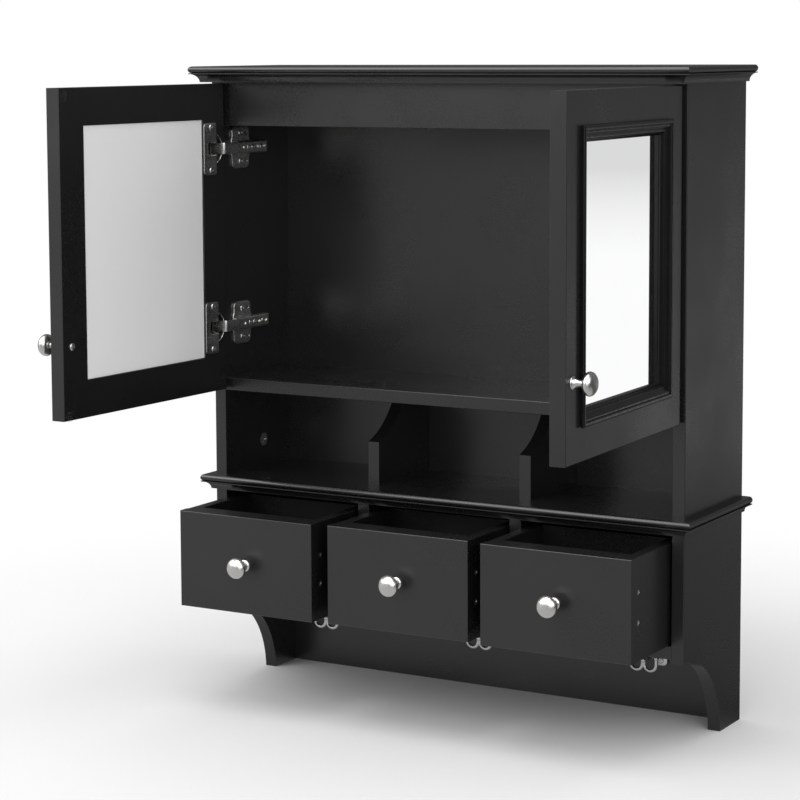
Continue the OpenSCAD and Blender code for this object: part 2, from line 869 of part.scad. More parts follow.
// Hinge cup with its screw plate on the back of the door
module door_hinge_cups() {
    ear_s = 17;
    plate_edge = frame_w - 0.5;
    color(nickel) difference() {
        cup_places() difference() {
            union() {
                rotate([90, 0, 0]) cylinder(r = cup_r, h = cup_d);
                rotate([-90, 0, 0]) cylinder(r = cup_r, h = steel_t);
                translate([ear_s - cup_s, steel_t, -flange_h / 2]) rotate([90, 0, 0])
                    linear_extrude(steel_t) eased_rect(plate_edge - ear_s, flange_h, 2.5);
            }
            rotate([90, 0, 0]) translate([0, 0, -steel_t - cut])
                cylinder(r = cup_in_r, h = cup_d - cup_wall + steel_t + cut);
        }
        cup_screw_places() screw_hole(steel_t + cut);
        pin_places() cylinder(r = pin_r + 0.01, h = 3 * cup_r, center = true);
    }
}

module pin_places() {
    for (h = hinge_heights) translate([pivot_s, -pivot_d, h]) children();
}

module door_hinge_pins() {
    reach = sqrt(cup_r * cup_r - pow(cup_s - pivot_s + pin_r, 2)) - screw_gap;
    color(steel) pin_places() cylinder(r = pin_r, h = 2 * reach, center = true);
}

module door_screws() {
    color(steel) {
        cup_screw_places() screw(cup_screw_l);
        door_knob_screw_place() screw(door_t + knob_hole_d - cut, shank_r, knob_head_r, knob_head_t);
    }
}

module door_knob() {
    door_knob_place() knob();
}

// Clear domes that meet the shelf's edge and the top rail
module door_bumpers() {
    low = z_shelf + board_t / 2 - door_z;
    dome_r = (bumper_r * bumper_r + bumper_h * bumper_h) / (2 * bumper_h);
    color(clear_white) for (z = [low, door_h - bumper_inset]) {
        translate([door_w - bumper_inset, 0, z]) rotate([-90, 0, 0]) intersection() {
            translate([0, 0, bumper_h - dome_r]) sphere(dome_r, $fn = 48);
            cylinder(r = bumper_r + 1, h = bumper_h);
        }
    }
}

// Drawers, drawn closed in the middle bay and moved to their place

module on_left_drawer() {
    translate([-bay_pitch, -left_pull, 0]) children();
}

module on_middle_drawer() {
    translate([0, -middle_pull, 0]) children();
}

module on_right_drawer() {
    translate([bay_pitch, -right_pull, 0]) children();
}

// Screws through the box sides into the two cross boards
module side_screw_places() {
    for (m = [0, 1], y = [front_t + box_t / 2, drawer_l - box_t / 2], z = [0, side_screw_pitch]) {
        mirror([m, 0, 0]) translate([box_half - head_t, y - body_d, drawer_z + side_screw_low + z])
            rotate([0, 90, 0]) children();
    }
}

// Screws through the inner front board into the drawer front
module fix_screw_places() {
    for (s = [-1, 1]) {
        translate([s * fix_screw_x, front_t + box_t - body_d, drawer_z + drawer_h / 2])
            rotate([-90, 0, 0]) children();
    }
}

module drawer_knob_screw_place() {
    translate([0, front_t + box_t - body_d, drawer_z + drawer_h / 2]) rotate([-90, 0, 0]) children();
}

module drawer_front() {
    color(black) difference() {
        intersection() {
            translate([-drawer_w / 2, -body_d, drawer_z])
                linear_extrude(drawer_h) eased_rect(drawer_w, front_t);
            translate([-drawer_w / 2, -body_d, drawer_z]) rotate([90, 0, 90])
                linear_extrude(drawer_w) eased_rect(front_t, drawer_h);
        }
        fix_screw_places() screw_hole(box_t + front_t * 0.6);
        drawer_knob_screw_place() screw_hole(box_t + front_t + cut);
    }
}

// The bottom sheet with its edges in the grooves
module bottom_sheet() {
    x = box_half - box_t + groove_d;
    block([-x, front_t + box_t - groove_d - body_d, floor_z],
          [x, drawer_l - box_t + groove_d - body_d, floor_z + bottom_t]);
}

module drawer_sides() {
    color(black) for (m = [0, 1]) mirror([m, 0, 0]) difference() {
        plank_side();
        bottom_sheet();
        side_screw_places() screw_hole(box_t + cut);
        side_screw_places() cylinder(r = head_r + screw_gap, h = head_t + cut);
    }
}

module plank_side() {
    translate([box_half - box_t, front_t - body_d, box_z]) rotate([90, 0, 0]) mirror([0, 0, 1])
        linear_extrude(box_l) eased_rect(box_t, box_top - box_z);
}

module drawer_ends() {
    color(black) difference() {
        for (y = [front_t, drawer_l - box_t]) {
            block([box_t - box_half, y - body_d, box_z],
                  [box_half - box_t, y + box_t - body_d, box_top]);
        }
        bottom_sheet();
        side_screw_places() screw_hole(side_screw_l);
        fix_screw_places() screw_hole(box_t + cut);
        drawer_knob_screw_place() screw_hole(box_t + cut);
    }
}

module drawer_bottom() {
    color(black) bottom_sheet();
}

module drawer_knob() {
    translate([0, -body_d, drawer_z + drawer_h / 2]) knob();
}

module drawer_screws() {
    color(steel) {
        side_screw_places() screw(side_screw_l - 1);
        fix_screw_places() screw(box_t + front_t / 2);
        drawer_knob_screw_place()
            screw(box_t + front_t + knob_hole_d - cut, shank_r, knob_head_r, knob_head_t);
    }
}

crown_board();
crown_moulding();
top_panel();
top_rail();
left_side_panel();
right_side_panel();
back_panel();
hanging_rails();
shelf();
cubby_dividers();
mid_board();
mid_moulding();
left_lower_side();
right_lower_side();
drawer_partitions();
drawer_deck();
lower_back_board();
hinge_plates();
hinge_arms();
hinge_screws();
cam_locks();
cam_bolts();
robe_hooks();
hook_screws();

on_left_door() door_frame();  // left_door_frame
on_left_door() door_moulding();  // left_door_moulding
on_left_door() door_mirror();  // left_door_mirror
on_left_door() door_backing();  // left_door_backing
on_left_door() door_hinge_cups();  // left_door_hinge_cups
on_left_door() door_hinge_pins();  // left_door_hinge_pins
on_left_door() door_screws();  // left_door_screws
on_left_door() door_knob();  // left_door_knob
on_left_door() door_bumpers();  // left_door_bumpers

on_right_door() door_frame();  // right_door_frame
on_right_door() door_moulding();  // right_door_moulding
on_right_door() door_mirror();  // right_door_mirror
on_right_door() door_backing();  // right_door_backing
on_right_door() door_hinge_cups();  // right_door_hinge_cups
on_right_door() door_hinge_pins();  // right_door_hinge_pins
on_right_door() door_screws();  // right_door_screws
on_right_door() door_knob();  // right_door_knob
on_right_door() door_bumpers();  // right_door_bumpers

on_left_drawer() drawer_front();  // left_drawer_front
on_left_drawer() drawer_sides();  // left_drawer_sides
on_left_drawer() drawer_ends();  // left_drawer_ends
on_left_drawer() drawer_bottom();  // left_drawer_bottom
on_left_drawer() drawer_knob();  // left_drawer_knob
on_left_drawer() drawer_screws();  // left_drawer_screws

on_middle_drawer() drawer_front();  // middle_drawer_front
on_middle_drawer() drawer_sides();  // middle_drawer_sides
on_middle_drawer() drawer_ends();  // middle_drawer_ends
on_middle_drawer() drawer_bottom();  // middle_drawer_bottom
on_middle_drawer() drawer_knob();  // middle_drawer_knob
on_middle_drawer() drawer_screws();  // middle_drawer_screws

on_right_drawer() drawer_front();  // right_drawer_front
on_right_drawer() drawer_sides();  // right_drawer_sides
on_right_drawer() drawer_ends();  // right_drawer_ends
on_right_drawer() drawer_bottom();  // right_drawer_bottom
on_right_drawer() drawer_knob();  // right_drawer_knob
on_right_drawer() drawer_screws();  // right_drawer_screws
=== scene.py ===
"""Looks of the mirrored wall cabinet: camera, light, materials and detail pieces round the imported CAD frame.

Metres, in the row frame: X along the wall, -Y out into the room, +Z up.
"""

import json
import math

import bmesh
import bpy
from mathutils import Matrix, Vector


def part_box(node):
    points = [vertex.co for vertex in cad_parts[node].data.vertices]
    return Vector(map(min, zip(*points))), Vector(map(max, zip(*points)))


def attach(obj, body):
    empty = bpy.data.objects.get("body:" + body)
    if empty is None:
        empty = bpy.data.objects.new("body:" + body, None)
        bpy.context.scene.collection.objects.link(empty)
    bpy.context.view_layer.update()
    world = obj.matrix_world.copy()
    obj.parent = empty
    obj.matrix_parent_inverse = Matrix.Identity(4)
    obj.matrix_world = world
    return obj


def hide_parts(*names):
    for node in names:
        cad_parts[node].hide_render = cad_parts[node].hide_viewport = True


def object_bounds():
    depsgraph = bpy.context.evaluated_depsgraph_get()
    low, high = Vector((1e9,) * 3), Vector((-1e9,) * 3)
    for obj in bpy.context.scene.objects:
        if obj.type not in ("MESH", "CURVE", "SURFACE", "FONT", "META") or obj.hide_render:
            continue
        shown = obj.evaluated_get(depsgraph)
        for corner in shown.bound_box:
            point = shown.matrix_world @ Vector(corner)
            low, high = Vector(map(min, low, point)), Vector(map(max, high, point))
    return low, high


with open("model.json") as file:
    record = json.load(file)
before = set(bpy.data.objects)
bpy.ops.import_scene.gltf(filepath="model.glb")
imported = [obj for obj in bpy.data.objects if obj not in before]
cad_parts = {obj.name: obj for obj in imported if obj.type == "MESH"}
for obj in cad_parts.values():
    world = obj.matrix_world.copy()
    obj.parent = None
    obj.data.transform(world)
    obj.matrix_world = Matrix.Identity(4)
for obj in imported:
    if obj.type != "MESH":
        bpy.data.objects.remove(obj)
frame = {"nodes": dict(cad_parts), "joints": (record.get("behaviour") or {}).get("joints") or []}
nodes = frame["nodes"]
cad_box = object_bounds()

MM = 0.001
SIDES = ("left", "right")
DRAWERS = ("left", "middle", "right")

# Sizes read from the frame
panel_low, panel_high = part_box("left_side_panel")
inner_half = -panel_high.x
front_y = panel_low.y
door_low, door_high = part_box("left_door_frame")
door_z = door_low.z
door_h = door_high.z - door_low.z
foot_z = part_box("lower_back_board")[0].z
low_back_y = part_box("lower_back_board")[0].y
joint_at = {j["name"]: Vector(j["pos_m"]) for j in frame["joints"] if "pos_m" in j}
pivot = joint_at["left_door_hinge"]

# Doors
DOOR_OPEN = math.radians(92)
DOOR_W = 284.5 * MM
DOOR_T = 16.5 * MM
PIVOT_S = 7.8 * MM
PIVOT_D = 10.8 * MM
SEAT_D = 8.5 * MM
BEAD_MARGIN = 32 * MM
BEAD_H = 4.3 * MM
BEAD_TOP_R = 1.6 * MM
BEAD_INNER_R = 1.5 * MM
BEAD_LAP = 12 * MM
MITRE_GAP = 0.1 * MM

# Hinges
HINGE_INSET = 71.7 * MM
HINGE_HEIGHTS = (HINGE_INSET, door_h - HINGE_INSET)
CUP_S = 20.5 * MM
STEEL_T = 1.2 * MM
CHEEK_LOW = (6.8 * MM, -13.1 * MM)
CHEEK_HIGH = (22 * MM, -4.5 * MM)
CHEEK_CORNER_R = 2.5 * MM
CHEEK_T = 0.9 * MM
CHEEK_OFF = 7.1 * MM
FLANGE_END = 38.5 * MM
FLANGE_H = 57.5 * MM
CUP_SCREW_S = 25 * MM
CUP_PITCH = 47.5 * MM
WING_BACK = 16 * MM
WING_W = 34 * MM
WING_H = 48 * MM
WING_T = 2 * MM
WING_PITCH = 32 * MM
WING_BASE_HALF = 5.5 * MM
ARM_BACK = 15 * MM
ARM_L = 58 * MM
ARM_HALF = 7 * MM
ARM_DEPTH = 8.2 * MM
ARM_CORNER_R = 2 * MM
ARM_SLOTS = ((0.14, 7 * MM), (0.655, 6 * MM), (0.9, 6 * MM))
ARM_SLOT_R = 1.6 * MM
PRESSED_EDGE = 0.2 * MM
NECK_HALF = 6.2 * MM
NECK_REACH = 16 * MM
NECK_LEAN = 10
NECK_SET = 1.45 * MM
NECK_TURN_R = 2.5 * MM
KNUCKLE_R = 2 * MM
ARM_SCREWS = tuple(share * ARM_L for share in (0.35, 0.5, 0.8))

# Knobs
KNOB_R = 11.5 * MM
KNOB_REACH = 17.5 * MM
KNOB_HALF_D = 7 * MM
KNOB_FOOT_R = 6.5 * MM
KNOB_NECK_R = 3.5 * MM
KNOB_RIM = 1.5 * MM
DOOR_KNOB_INSET = 14.5 * MM
DOOR_KNOB_Z = 76.3 * MM

# Robe hooks
HOOK_PITCH = 200 * MM
HOOK_Z = 68 * MM
HOOK_REACH = 48.5 * MM
HOOK_PLATE = (16 * MM, 34 * MM, 3 * MM)
HOOK_SCREW_PITCH = 22 * MM
PRONG_BEND_R = 7 * MM
PRONG_R = 2 * MM
PRONG_BALL_R = 2.8 * MM
PRONG_RISE = 7 * MM
PRONG_DROP = 4 * MM
STEM_R = 3 * MM
NOSE_R = 3.6 * MM

# Screws
HEAD_T = 1.4 * MM
WOOD_HEAD = (3.6 * MM, HEAD_T, 1.8 * MM, 4 * MM)
ARM_HEAD = (2.8 * MM, 1 * MM, 1.5 * MM, 3 * MM)
KNOB_HEAD = (4 * MM, 2 * MM, 1.8 * MM, 4 * MM)
BOX_T = 12 * MM
FIX_SCREW_X = 50 * MM
SIDE_SCREW_LOW = 39 * MM
SIDE_SCREW_PITCH = 31 * MM


# Node graphs

class Nodes:
    """Short calls for building one node tree."""

    def __init__(self, tree):
        self.tree = tree

    def add(self, kind, inputs=None, **settings):
        node = self.tree.nodes.new(kind)
        for key, value in settings.items():
            setattr(node, key, value)
        for key, value in (inputs or {}).items():
            if isinstance(value, bpy.types.NodeSocket):
                self.tree.links.new(value, node.inputs[key])
            else:
                node.inputs[key].default_value = value
        return node

    def link(self, source, target):
        self.tree.links.new(source, target)

    def math(self, operation, a, b=0.0):
        return self.add("ShaderNodeMath", {0: a, 1: b}, operation=operation).outputs["Value"]

    def vector(self, operation, a, b=(0, 0, 0)):
        node = self.add("ShaderNodeVectorMath", {0: a, 1: b}, operation=operation)
        return node.outputs["Value" if operation in ("DOT_PRODUCT", "LENGTH") else "Vector"]

    def spread(self, value, low, high, start=0.3, end=0.7, easing="LINEAR"):
        """value from start to end mapped on low to high."""
        inputs = {"Value": value, "From Min": start, "From Max": end, "To Min": low, "To Max": high}
        return self.add("ShaderNodeMapRange", inputs, interpolation_type=easing).outputs["Result"]

    def mix(self, factor, a, b, **settings):
        """a where factor is 0 and b where it is 1."""
        return self.add("ShaderNodeMix", {"Factor": factor, "A": a, "B": b}, **settings).outputs["Result"]


class Graph(Nodes):
    """The node tree of a new material."""

    def __init__(self, name):
        self.material = bpy.data.materials.new(name)
        self.material.use_nodes = True
        super().__init__(self.material.node_tree)
        self.shader = self.tree.nodes["Principled BSDF"]
        self.output = self.tree.nodes["Material Output"]

    def place(self, scale=(1, 1, 1)):
        """Row-frame coordinates of a piece at rest, stretched by scale."""
        coords = self.add("ShaderNodeTexCoord").outputs["Object"]
        return self.add("ShaderNodeMapping", {"Vector": coords, "Scale": scale}).outputs["Vector"]

    def noise(self, scale, detail=2.0, rough=0.5, stretch=(1, 1, 1)):
        inputs = {"Vector": self.place(stretch), "Scale": scale, "Detail": detail, "Roughness": rough}
        return self.add("ShaderNodeTexNoise", inputs).outputs["Fac"]

    def blend(self, factor, *colors):
        """Mix of two colors, each a socket or three numbers."""
        a, b = (c if isinstance(c, bpy.types.NodeSocket) else (*c, 1.0) for c in colors)
        return self.mix(factor, a, b, data_type="RGBA")

    def bump(self, height, distance, strength):
        inputs = {"Height": height, "Distance": distance, "Strength": strength}
        return self.add("ShaderNodeBump", inputs).outputs["Normal"]

    def set(self, **values):
        names = {"color": "Base Color", "rough": "Roughness", "metal": "Metallic", "normal": "Normal",
                 "spec": "Specular IOR Level", "aniso": "Anisotropic", "tangent": "Tangent", "alpha": "Alpha"}
        for key, value in values.items():
            socket = self.shader.inputs[names[key]]
            if isinstance(value, bpy.types.NodeSocket):
                self.link(value, socket)
            elif socket.type == "RGBA":
                socket.default_value = (*value, 1.0)
            else:
                socket.default_value = value
        return self.material


def lighter_edge_mask(graph, radius=1.2 * MM):
    """1 on edges and 0 on flat faces, for painting edges lighter."""
    bevel = graph.add("ShaderNodeBevel", {"Radius": radius}, samples=4).outputs["Normal"]
    flat = graph.add("ShaderNodeNewGeometry").outputs["Normal"]
    return graph.spread(graph.vector("DOT_PRODUCT", bevel, flat), 1.0, 0.0, start=0.8, end=0.99)


def satin_paint(name, base, rough, spec=0.8):
    """Sprayed satin paint on board: orange peel, faint clouding, and edges painted lighter as a painted
    highlight of the light on the eased edges.
    """
    g = Graph(name)
    clouds = g.noise(9.0, detail=3.0)
    dust = g.noise(700.0, detail=1.0)
    body = g.blend(clouds, tuple(0.8 * c for c in base), tuple(1.25 * c for c in base))
    # Painted highlight: the edges are painted up to 2.6 times lighter, in patches, for the glints of light
    # along the eased edges.
    edge_highlight_color = tuple(2.6 * c for c in base)
    painted_highlight_mask = g.math("MULTIPLY", lighter_edge_mask(g), g.spread(g.noise(60.0), 0.2, 1.0))
    color = g.blend(painted_highlight_mask, body, edge_highlight_color)
    roughness = g.math("ADD", g.spread(clouds, rough - 0.04, rough + 0.05), g.spread(dust, -0.02, 0.02))
    peel = g.noise(420.0, detail=2.0, rough=0.45)
    return g.set(color=color, rough=roughness, spec=spec, normal=g.bump(peel, 0.03 * MM, 0.35))


def gloss_paint(name, base):
    """High gloss lacquer on the door mouldings, with fine dust and a soft ripple."""
    g = Graph(name)
    ripple = g.noise(160.0, detail=1.0)
    dust = g.noise(1500.0, detail=0.0)
    color = g.blend(g.noise(30.0), base, tuple(1.8 * c for c in base))
    roughness = g.math("ADD", g.spread(ripple, 0.12, 0.2), g.spread(dust, 0.0, 0.04))
    return g.set(color=color, rough=roughness, spec=0.32, normal=g.bump(ripple, 0.05 * MM, 0.25))


def mirror_silver(name):
    """Silvered glass: near perfect, with a breath of haze."""
    g = Graph(name)
    haze = g.noise(22.0, detail=4.0)
    color = g.blend(haze, (0.95, 0.96, 0.96), (0.975, 0.98, 0.98))
    return g.set(color=color, metal=1.0, rough=g.spread(haze, 0.008, 0.02))


def grey_sheet(name):
    """Pale grey laminate on the board behind the mirror, with a fine paper tooth."""
    g = Graph(name)
    cloud = g.noise(6.0, detail=2.0)
    fibre = g.noise(900.0, detail=3.0, stretch=(1, 1, 0.4))
    color = g.blend(cloud, (0.78, 0.78, 0.78), (0.84, 0.84, 0.84))
    return g.set(color=color, rough=g.spread(fibre, 0.5, 0.62), spec=0.4,
                 normal=g.bump(fibre, 0.04 * MM, 0.4))


def stamped_metal(name, base, rough, stretch=(1, 1, 8)):
    """Plated pressed steel with drawing marks, small pits and edges a little lighter."""
    g = Graph(name)
    streak = g.noise(260.0, detail=4.0, stretch=stretch)
    pits = g.noise(1400.0, detail=1.0)
    stain = g.noise(45.0, detail=2.0)
    body = g.blend(stain, tuple(0.88 * c for c in base), base)
    color = g.blend(lighter_edge_mask(g, 0.3 * MM), body, tuple(min(1.0, 1.08 * c) for c in base))
    roughness = g.math("ADD", g.spread(streak, rough - 0.06, rough + 0.08), g.spread(pits, -0.02, 0.03))
    return g.set(color=color, metal=1.0, rough=roughness, normal=g.bump(streak, 0.02 * MM, 0.5))


def turned_metal(name, base):
    """Brushed nickel turned on a lathe: fine rings round the knob's own axis."""
    g = Graph(name)
    coords = g.add("ShaderNodeTexCoord").outputs["Object"]
    parts = g.add("ShaderNodeSeparateXYZ", {"Vector": coords})
    across = g.math("POWER", g.math("ADD", g.math("POWER", parts.outputs["X"], 2.0),
                                    g.math("POWER", parts.outputs["Z"], 2.0)), 0.5)
    ring = g.add("ShaderNodeCombineXYZ", {"X": across, "Y": parts.outputs["Y"]}).outputs["Vector"]
    rings = g.add("ShaderNodeTexNoise", {"Vector": ring, "Scale": 3200.0, "Detail": 2.0}).outputs["Fac"]
    cloud = g.noise(110.0, detail=2.0)
    color = g.blend(cloud, tuple(0.92 * c for c in base), base)
    tangent = g.add("ShaderNodeTangent", direction_type="RADIAL", axis="Y").outputs["Tangent"]
    roughness = g.math("ADD", g.spread(rings, 0.17, 0.27), g.spread(cloud, -0.02, 0.03))
    return g.set(color=color, metal=1.0, rough=roughness, aniso=0.5, tangent=tangent,
                 normal=g.bump(rings, 0.01 * MM, 0.3))


def clear_plastic(name):
    """Soft clear dome with a slight haze, which hardly shows on the paint."""
    g = Graph(name)
    haze = g.noise(500.0, detail=2.0)
    color = g.blend(haze, (0.06, 0.06, 0.06), (0.1, 0.1, 0.1))
    return g.set(color=color, rough=g.spread(haze, 0.25, 0.35), spec=0.3, alpha=g.spread(haze, 0.1, 0.14))


BLACK = satin_paint("black_satin", (0.0084, 0.0084, 0.0086), 0.29)
GLOSS = gloss_paint("black_gloss", (0.004, 0.004, 0.0045))
MIRROR = mirror_silver("mirror_silver")
BACKING = grey_sheet("backing_grey")
HINGE_STEEL = stamped_metal("hinge_nickel", (0.8, 0.79, 0.77), 0.26)
# Painted shade: the cup bowls and cheeks are the same nickel as the plates, given a dark colour for the shade
# inside the cup.
CUP_STEEL_PAINTED_SHADE = stamped_metal("cup_nickel_painted_shade", (0.2, 0.2, 0.195), 0.4)
NICKEL = turned_metal("knob_nickel", (0.82, 0.81, 0.79))
CHROME = stamped_metal("hook_chrome", (0.66, 0.66, 0.65), 0.12, stretch=(1, 1, 2))
SCREW_STEEL = stamped_metal("screw_steel", (0.72, 0.72, 0.72), 0.3)
CLEAR = clear_plastic("bumper_clear")


# Mesh building

def mesh_of(bm, name):
    """New mesh with what bm holds. bm goes."""
    mesh = bpy.data.meshes.new(name)
    bm.to_mesh(mesh)
    bm.free()
    return mesh


def linked(name, data):
    """New object in the scene."""
    obj = bpy.data.objects.new(name, data)
    bpy.context.scene.collection.objects.link(obj)
    return obj


def merge(bm, mesh, matrix=None):
    """Adds a mesh to bm and lets the mesh go."""
    if matrix is not None:
        mesh.transform(matrix)
        if matrix.determinant() < 0:
            mesh.flip_normals()
    bm.from_mesh(mesh)
    bpy.data.meshes.remove(mesh)


def baked(obj):
    """Mesh of an object with its modifiers or curve settings applied. The object goes."""
    depsgraph = bpy.context.evaluated_depsgraph_get()
    mesh = bpy.data.meshes.new_from_object(obj.evaluated_get(depsgraph))
    bpy.data.objects.remove(obj)
    return mesh


def piece(name, bm, material, body, replaced=(), matrix=None, sharp=35):
    """Turns bm into a piece that rides on a body, with faces smooth up to an angle of sharp degrees."""
    bmesh.ops.remove_doubles(bm, verts=bm.verts, dist=1e-6)
    bmesh.ops.recalc_face_normals(bm, faces=bm.faces)
    mesh = mesh_of(bm, name)
    mesh.shade_smooth()
    mesh.set_sharp_from_angle(angle=math.radians(sharp))
    mesh.materials.clear()
    mesh.materials.append(material)
    obj = linked(name, mesh)
    if matrix is not None:
        obj.matrix_world = matrix
    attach(obj, body)
    if replaced:
        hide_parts(*replaced)
    return obj


def spline(curve, points):
    line = curve.splines.new("POLY")
    line.points.add(len(points) - 1)
    for target, point in zip(line.points, points):
        target.co = (*point, 0.0, 1.0)
    line.use_cyclic_u = True


def stamping(outlines, thickness, edge):
    """Flat pressed plate: outer outline and holes in XY, middle plane at Z = 0, edges rounded by edge."""
    curve = bpy.data.curves.new("stamping", "CURVE")
    curve.dimensions = "2D"
    curve.fill_mode = "BOTH"
    curve.extrude = thickness / 2 - edge
    curve.bevel_depth = edge
    curve.bevel_resolution = 2
    curve.offset = -edge
    for points in outlines:
        spline(curve, points)
    mesh = baked(linked("stamping", curve))
    bpy.data.curves.remove(curve)
    return mesh


def arc(centre, radius, start, end, steps):
    """Points on a circle, with the angles in degrees."""
    angles = [math.radians(start + (end - start) * i / steps) for i in range(steps + 1)]
    return [(centre[0] + radius * math.cos(a), centre[1] + radius * math.sin(a)) for a in angles]


def rounded_box(low, high, radius, steps=5):
    """Rectangle with rounded corners as a list of points."""
    corners = ((high[0] - radius, high[1] - radius, 0), (low[0] + radius, high[1] - radius, 90),
               (low[0] + radius, low[1] + radius, 180), (high[0] - radius, low[1] + radius, 270))
    points = []
    for x, y, start in corners:
        points += arc((x, y), radius, start, start + 90, steps)
    return points


def lathe(profile, steps=48):
    """Closed solid of revolution round Z from (radius, height) pairs. The ends lie on the axis."""
    bm = bmesh.new()
    rows = []
    for radius, height in profile:
        if radius < 1e-7:
            rows.append([bm.verts.new((0, 0, height))])
            continue
        angles = [2 * math.pi * i / steps for i in range(steps)]
        rows.append([bm.verts.new((radius * math.cos(a), radius * math.sin(a), height)) for a in angles])
    for low, high in zip(rows, rows[1:]):
        for i in range(steps):
            j = (i + 1) % steps
            corners = [low[i % len(low)], low[j % len(low)], high[j % len(high)], high[i % len(high)]]
            bm.faces.new(list(dict.fromkeys(corners)))
    bmesh.ops.recalc_face_normals(bm, faces=bm.faces)
    return mesh_of(bm, "lathe")


def ring_mesh(section, steps=64):
    """Closed ring round Z from a section of (radius, height) pairs."""
    bm = bmesh.new()
    rows = []
    for i in range(steps):
        a = 2 * math.pi * i / steps
        turn = (math.cos(a), math.sin(a))
        rows.append([bm.verts.new((radius * turn[0], radius * turn[1], height)) for radius, height in section])
    for row, after in zip(rows, rows[1:] + rows[:1]):
        for k in range(len(section)):
            m = (k + 1) % len(section)
            bm.faces.new((row[k], row[m], after[m], after[k]))
    bmesh.ops.recalc_face_normals(bm, faces=bm.faces)
    return mesh_of(bm, "ring")


def tube(path, radius, sides=20):
    """Closed round rod along a path of points that don't turn back on themselves."""
    bm = bmesh.new()
    points = [Vector(p) for p in path]
    side = None
    rows = []
    for i, point in enumerate(points):
        ahead = points[min(i + 1, len(points) - 1)]
        behind = points[max(i - 1, 0)]
        along = (ahead - behind).normalized()
        if side is None:
            side = along.orthogonal().normalized()
        side = (side - along * side.dot(along)).normalized()
        up = along.cross(side)
        angles = [2 * math.pi * k / sides for k in range(sides)]
        rows.append([bm.verts.new(point + radius * (side * math.cos(a) + up * math.sin(a))) for a in angles])
    for low, high in zip(rows, rows[1:]):
        for k in range(sides):
            m = (k + 1) % sides
            bm.faces.new((low[k], low[m], high[m], high[k]))
    bm.faces.new(rows[0])
    bm.faces.new(rows[-1])
    bmesh.ops.recalc_face_normals(bm, faces=bm.faces)
    return mesh_of(bm, "tube")


def cut_away(mesh, tools):
    """mesh less the tool meshes."""
    body = linked("body", mesh)
    cutters = []
    for tool in tools:
        cutter = linked("cutter", tool)
        modifier = body.modifiers.new("cut", "BOOLEAN")
        modifier.operation = "DIFFERENCE"
        modifier.solver = "EXACT"
        modifier.object = cutter
        cutters.append(cutter)
    result = baked(body)
    for cutter in cutters:
        bpy.data.objects.remove(cutter)
    return result


def box_mesh(size, centre=(0, 0, 0)):
    bm = bmesh.new()
    bmesh.ops.create_cube(bm, size=1.0, matrix=Matrix.Translation(centre) @ Matrix.Diagonal((*size, 1.0)))
    return mesh_of(bm, "box")


def screw_head(radius, height, shank_r, shank_l):
    """Pan head with a tapered cross recess on a short shank, standing up from Z = 0."""
    rim = 0.25 * height
    dome = [(radius * math.cos(math.radians(a)), rim + (height - rim) * math.sin(math.radians(a)))
            for a in (0, 20, 40, 60, 75)]
    solid = lathe([(0, -shank_l), (shank_r, -shank_l), (shank_r, 0), (radius, 0), *dome, (0, height)], 32)
    recess_l, recess_w, cutter_h = 1.25 * radius, 0.24 * radius, 1.4 * height
    taper_l, taper_w = 0.55, 0.6
    tools = []
    for turn in (0, 90):
        tool = box_mesh((recess_l, recess_w, cutter_h), (0, 0, height))
        for vertex in tool.vertices:
            if vertex.co.z < height:
                vertex.co.x *= taper_l
                vertex.co.y *= taper_w
        tool.transform(Matrix.Rotation(math.radians(turn), 4, "Z"))
        tools.append(tool)
    return cut_away(solid, tools)


# Places

def on_door(side):
    """From a closed door's own axes, hinge edge at X = 0 and back face at Y = 0, to where it stands."""
    swing = (Matrix.Translation((pivot.x, pivot.y, door_z)) @ Matrix.Rotation(-DOOR_OPEN, 4, "Z")
             @ Matrix.Translation((-PIVOT_S, PIVOT_D, 0)))
    return swing if side == "left" else Matrix.Scale(-1, 4, (1, 0, 0)) @ swing


def mirrored(side):
    return Matrix.Identity(4) if side == "left" else Matrix.Scale(-1, 4, (1, 0, 0))


def axes(x, y, z, origin=(0, 0, 0)):
    """Matrix with these three axes and origin."""
    return Matrix.Translation(origin) @ Matrix((x, y, z)).transposed().to_4x4()


TO_ROOM = axes((1, 0, 0), (0, 0, 1), (0, -1, 0))
TO_WALL = axes((1, 0, 0), (0, 0, -1), (0, 1, 0))
TO_RIGHT = axes((0, 1, 0), (0, 0, 1), (1, 0, 0))


def at(x, y, z):
    return Matrix.Translation((x, y, z))


# Finish of the CAD nodes that stay

PAINTED = ("crown_board", "crown_moulding", "top_panel", "top_rail", "left_side_panel", "right_side_panel",
           "back_panel", "hanging_rails", "shelf", "cubby_dividers", "mid_board", "mid_moulding",
           "left_lower_side", "right_lower_side", "drawer_partitions", "drawer_deck", "lower_back_board")
finishes = {name: BLACK for name in PAINTED}
finishes.update({"cam_locks": SCREW_STEEL, "cam_bolts": SCREW_STEEL})
for side in SIDES:
    finishes[f"{side}_door_frame"] = BLACK
    finishes[f"{side}_door_mirror"] = MIRROR
    finishes[f"{side}_door_backing"] = BACKING
    finishes[f"{side}_door_hinge_pins"] = SCREW_STEEL
    finishes[f"{side}_door_bumpers"] = CLEAR
for drawer in DRAWERS:
    for part in ("front", "sides", "ends", "bottom"):
        finishes[f"{drawer}_drawer_{part}"] = BLACK
for name, obj in nodes.items():
    obj.data.materials.clear()
    obj.data.materials.append(finishes.get(name, SCREW_STEEL))


# Raised mouldings on the doors

